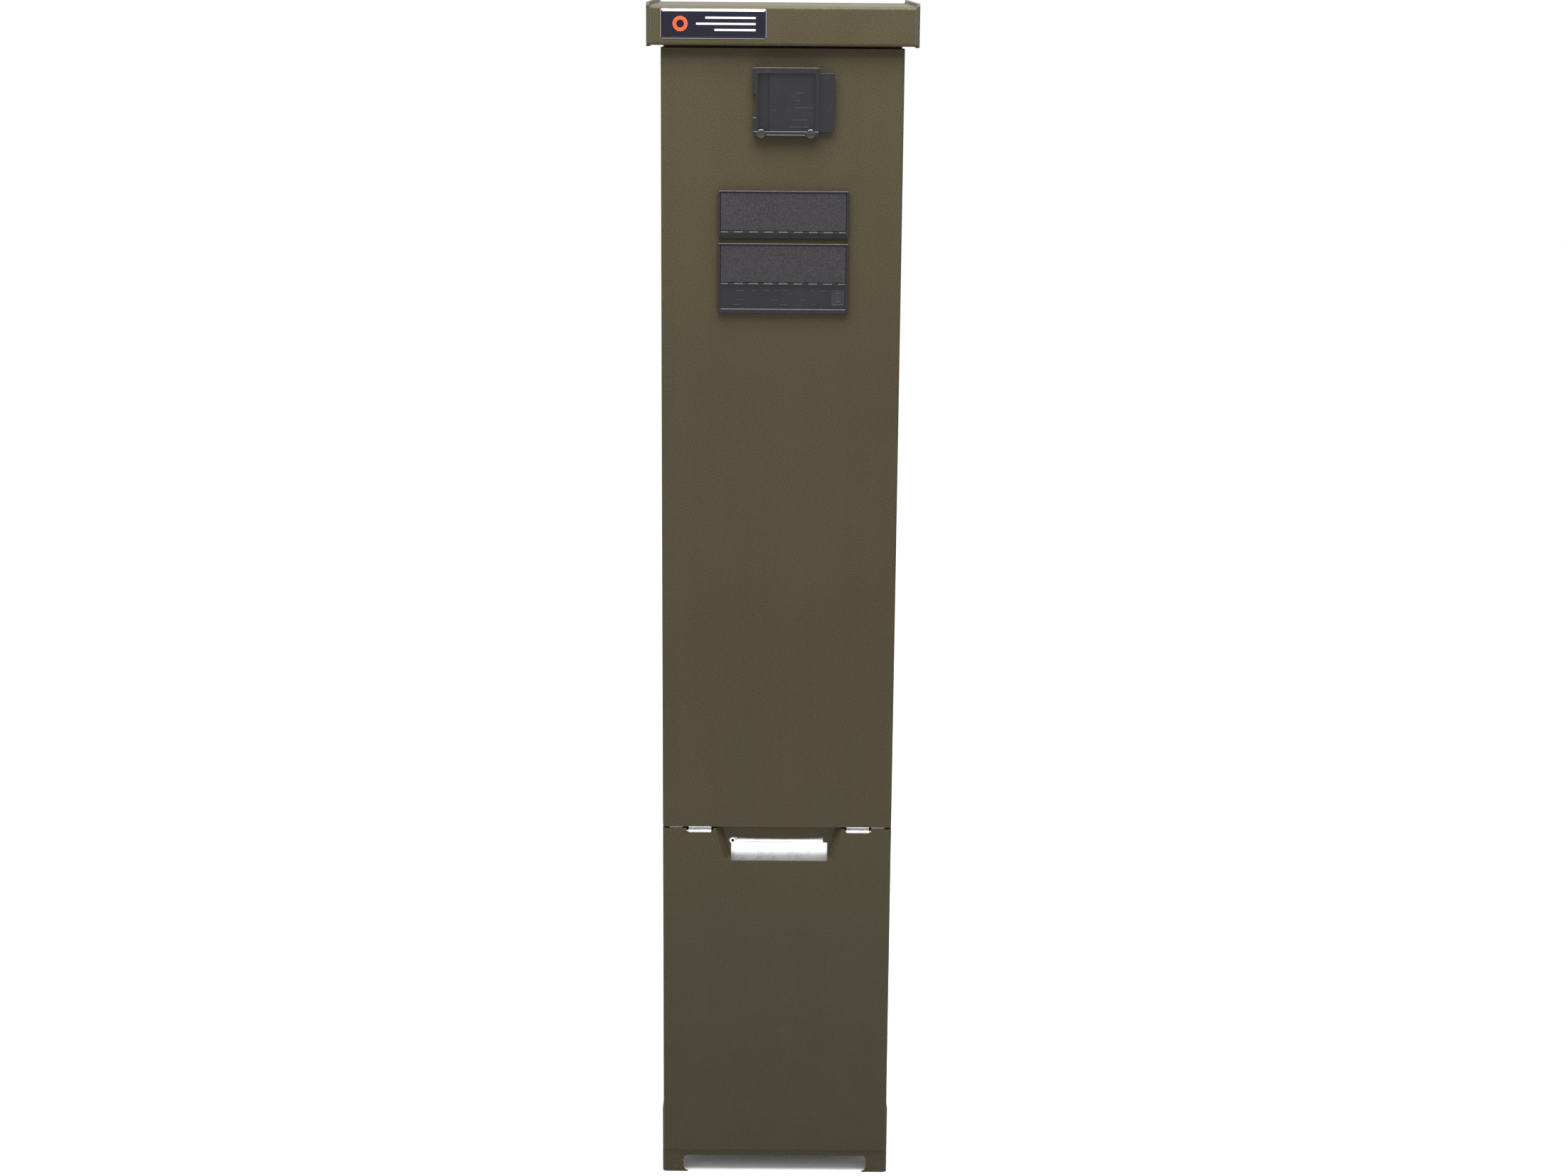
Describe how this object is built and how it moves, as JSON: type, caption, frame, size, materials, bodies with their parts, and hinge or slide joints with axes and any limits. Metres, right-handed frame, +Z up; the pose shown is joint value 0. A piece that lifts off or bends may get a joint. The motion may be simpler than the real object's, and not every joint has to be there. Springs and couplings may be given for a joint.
{
  "type": "cable distribution pillar",
  "caption": "Slim floor-standing sheet-metal cable pillar with lift-off front door, lower cover, overhanging roof and a fuse switch inside.",
  "frame": {"origin": "on the ground under the middle of the cabinet's width and depth", "axes": "+Z up, front door towards -Y, +X to the right seen from the front"},
  "size_m": [0.239, 0.227, 1.1095],
  "materials": {
    "body_paint": "satin textured powder coat",
    "galvanised": "hot-dip galvanised",
    "zinc_steel": "bright zinc plated",
    "lock_metal": "nickel plated",
    "black_plastic": "fine grained",
    "label_strip": "smooth",
    "foam": "closed-cell foam",
    "badge_blue": "clear-cast gloss",
    "badge_backing": "satin",
    "copper": "satin copper",
    "terminal_metal": "satin tinned",
    "switch_grey": "moulded",
    "fuse_ceramic": "glazed steatite",
    "clear_plastic": "clear polycarbonate"
  },
  "bodies": {
    "cabinet": {"base_frame": "body_paint", "cabinet_shell": "body_paint", "roof_panel": "body_paint", "roof_cheek_left": "body_paint", "roof_cheek_right": "body_paint", "roof_seal": "foam", "top_cross_member_front": "body_paint", "top_cross_member_rear": "body_paint", "roof_studs": "zinc_steel", "roof_nuts": "zinc_steel", "badge_plate": "badge_backing", "badge_dome": "badge_blue", "lock_keeper": "galvanised", "mid_cross_member": "body_paint", "hinge_brackets": "galvanised", "hinge_pins": "zinc_steel", "catch_plate": "galvanised", "catch_eyelet": "zinc_steel", "mounting_plate": "galvanised", "mounting_spacers": "zinc_steel", "mounting_studs": "zinc_steel", "switch_base": "switch_grey", "switch_pivots": "zinc_steel", "switch_jaws": "copper", "phase_bar_1": "copper", "phase_bar_2": "copper", "phase_bar_3": "copper", "pen_bar": "copper", "bar_supports": "switch_grey", "bar_screws": "zinc_steel", "phase_terminals": "terminal_metal", "pen_terminals": "terminal_metal", "terminal_screws": "zinc_steel", "bar_shroud": "clear_plastic", "cable_rail": "galvanised", "cable_saddles": "black_plastic", "saddle_screws": "zinc_steel"},
    "tongues": {"hinge_tongues": "galvanised"},
    "door": {"door_panel": "body_paint", "door_tongue_sockets": "galvanised", "door_gasket": "foam", "lock_housing": "lock_metal", "lock_nut": "zinc_steel", "lock_cover_frame": "black_plastic", "lock_cover_screws": "black_plastic", "label_frame_upper": "black_plastic", "label_frame_lower": "black_plastic", "label_inserts": "label_strip", "label_rivets": "zinc_steel"},
    "lock": {"lock_plug": "lock_metal", "lock_cam": "zinc_steel", "cam_screw": "zinc_steel"},
    "weather_plate": {"lock_cover_slide": "black_plastic"},
    "lower_cover": {"lower_cover": "body_paint", "lower_cover_pegs": "zinc_steel"},
    "fuse_carrier": {"switch_carrier": "switch_grey", "switch_window": "clear_plastic", "fuse_links": "fuse_ceramic", "fuse_blades": "copper"}
  },
  "joints": [
    {"name": "door_tilt", "type": "hinge", "parent": "cabinet", "child": "tongues", "pos_m": [0, -0.0945, 0.3462], "axis": [1, 0, 0], "range_deg": [0, 60]},
    {"name": "door_lift", "type": "slide", "parent": "tongues", "child": "door", "axis": [0, 0, 1], "range_m": [0, 0.016]},
    {"name": "lock_turn", "type": "hinge", "parent": "door", "child": "lock", "pos_m": [0.003, -0.1, 1.024], "axis": [0, -1, 0], "range_deg": [0, 90]},
    {"name": "weather_plate_slide", "type": "slide", "parent": "door", "child": "weather_plate", "axis": [1, 0, 0], "range_m": [-0.009, 0.025]},
    {"name": "lower_cover_pull", "type": "slide", "parent": "cabinet", "child": "lower_cover", "axis": [0, -1, 0], "range_m": [0, 0.2]},
    {"name": "fuse_carrier_tilt", "type": "hinge", "parent": "cabinet", "child": "fuse_carrier", "pos_m": [0, 0.0292, 0.8462], "axis": [1, 0, 0], "range_deg": [0, 85]}
  ]
}
